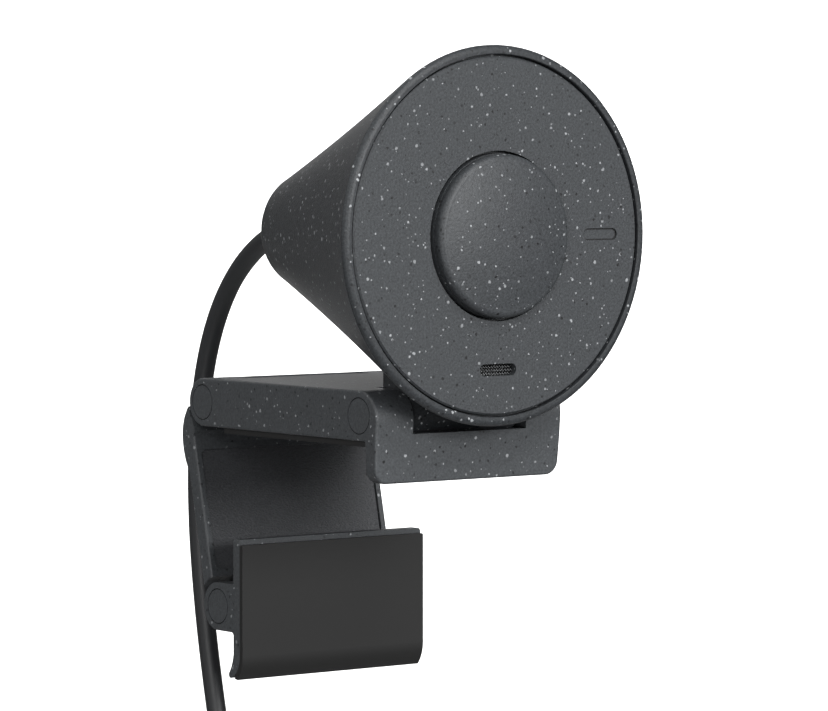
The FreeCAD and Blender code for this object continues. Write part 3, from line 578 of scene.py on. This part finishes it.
# lens: dark violet from its coating, under a clear glossy skin
lens_glass = grained("coated_lens_glass", "#2a2436", 0.08, grain_mm=0.5, depth_mm=0.0, tone=0.1)
lens_shader = layers(lens_glass)[1]
lens_shader.inputs["Coat Weight"].default_value = 0.8
lens_shader.inputs["IOR"].default_value = 1.52

# %% [markdown]
# ## Every piece gets its finish
# The CAD record names a slot for each node. A few nodes have a finish of their own: the cone, whose
# plastic is painted darker as painted shade, the board that shows through the wire cloth, painted
# near-black as the painted shade of the slot, and the caps, which are moulded from new plastic.

# %% Give every piece its material
finishes = {
    "housing_plastic": flecked_plastic, "clip_plastic": clip_plastic,
    "panel_plastic": panel_plastic, "light_window": light_window, "rubber_pad": pad_rubber,
    "cord_jacket": cord_jacket, "black_plastic": black_plastic, "gasket_foam": gasket_foam,
    "tie_plastic": strap_nylon, "board_green": board_green, "chip_black": chip_black,
    "mesh_steel": mesh_steel, "pin_steel": pin_steel, "screw_steel": screw_steel,
    "connector_steel": plug_steel, "lens_glass": lens_glass,
}
# the cone's darker plastic and the mic board's near-black are painted shade
own_finishes = {"rear_housing": cone_plastic_painted_shade, "mic_board": board_painted_shade_black}
for part in frame["record"]["subparts"]:
    node = frame["nodes"][part["node"]]
    finish = own_finishes.get(part["node"], finishes[part["material_slot"]])
    if "_cap_" in part["node"]:
        finish = cap_plastic
    if not node.material_slots:
        node.data.materials.append(finish)
    node.material_slots[0].material = finish
for piece in (usb_cord, coil_strap, plug_handle, mic_wires):
    piece.data.materials.append(finishes[piece["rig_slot"]])

# %% [markdown]
# ## Studio
# A pale sweep, floor and wall in one curved sheet, gives an even ground with no horizon. Two
# lights turn its wall white. The webcam has its own: a key low in front and one above it, whose
# soft reflections shade the dome, and weak ones on the left and behind, which draw the side of
# the cone and the top of the arm. A low one on the left reaches under the arm, to the leg. Grids
# keep each beam off the floor, so that it stays quiet.

# %% Sweep and lights
floor_start, floor_length, below = 1.6, 4.0, 0.45  # metres before, along and under the webcam
bend_r, wall_height, half_width = 1.2, 2.5, 1.2
floor_share, bend_share, wall_share = 0.4, 0.3, 0.3  # shares of the sheet's rows
level = np.array([1, 1, 0])  # takes the slope out of a direction


def sweep_points(rows=60, columns=24):
    """Sheet that runs away from the camera: level floor, then a quarter circle, then the wall."""
    t = np.linspace(0, 1, rows)
    bent = np.clip((t - floor_share) / bend_share, 0, 1) * math.pi / 2
    straight = np.minimum(t, floor_share) / floor_share * floor_length
    depth = straight - floor_start + bend_r * np.sin(bent)
    wall = np.clip((t - (floor_share + bend_share)) / wall_share, 0, 1)
    height = bend_r * (1 - np.cos(bent)) + wall * wall_height
    width = np.linspace(-half_width, half_width, columns)
    ahead = -back * level / math.cos(rise)
    place = depth[:, None, None] * ahead + width[None, :, None] * right
    place[..., 2] = height[:, None] + cad_box[0][2] - below
    return place


sweep = grid_object("studio_sweep", sweep_points(), None, closed=(False, False))
sweep.data.materials.append(grained("painted_studio_sweep", "#f4f4f4", 0.9, grain_mm=3.0,
                                    depth_mm=0.02, tone=0.01))


def soft_light(name, place, aim, size, watts, beam=60):
    """Square area light that faces the point it is aimed at; a grid keeps it within its beam."""
    made = bpy.data.objects.new(name, bpy.data.lights.new(name, "AREA"))
    made.data.size, made.data.energy, made.data.spread = size, watts, math.radians(beam)
    z = (place - aim) / np.linalg.norm(place - aim)
    x = np.cross([0, 0, 1.0], z)
    x = x / np.linalg.norm(x)
    made.matrix_world = placed(x, np.cross(z, x), z, place)
    bpy.context.scene.collection.objects.link(made)


webcam = np.array([0, 0, 0.01])  # the point that its lights are aimed at
light_away = 1.1  # metres from there to each of them


def studio_spot(azimuth, height):
    """Place of a light: azimuth counts from the webcam's front to its right, height from level."""
    a, e = math.radians(azimuth), math.radians(height)
    return webcam + light_away * np.array([math.sin(a) * math.cos(e), -math.cos(a) * math.cos(e),
                                           math.sin(e)])


# name, azimuth and height in degrees, edge length in metres, watts
for name, azimuth, height, size, watts in (
        ("key", 8, 15, 0.5, 2.6), ("key_high", 8, 50, 0.5, 1.5),
        ("left_front", -45, 20, 0.5, 0.9), ("left_low", -45, -12, 0.4, 0.45),
        ("left_rear", -110, 25, 0.8, 0.85), ("left_high", -80, 52, 0.5, 0.2),
        ("rear_high", 180, 52, 0.5, 0.5)):
    soft_light(name, studio_spot(azimuth, height), webcam, size, watts)
# the wall's two lights stand out of view, beside the webcam and a little behind it; in metres
aside, beyond, raised, wall_beyond, wall_lowered = 1.6, 0.9, 0.9, 3.4, 0.1
wall_aim = -wall_beyond * back * level + [0, 0, -wall_lowered]
for side, name in ((-1, "wall_left"), (1, "wall_right")):
    place = side * aside * right - beyond * back * level + [0, 0, raised]
    soft_light(name, place, wall_aim, 0.8, 10.5, beam=50)
world = bpy.data.worlds.new("studio")
world.use_nodes = True
world.node_tree.nodes["Background"].inputs["Color"].default_value = (1.0, 1.0, 1.0, 1.0)
world.node_tree.nodes["Background"].inputs["Strength"].default_value = 0.2
bpy.context.scene.world = world
bpy.context.scene.view_settings.view_transform = "Standard"
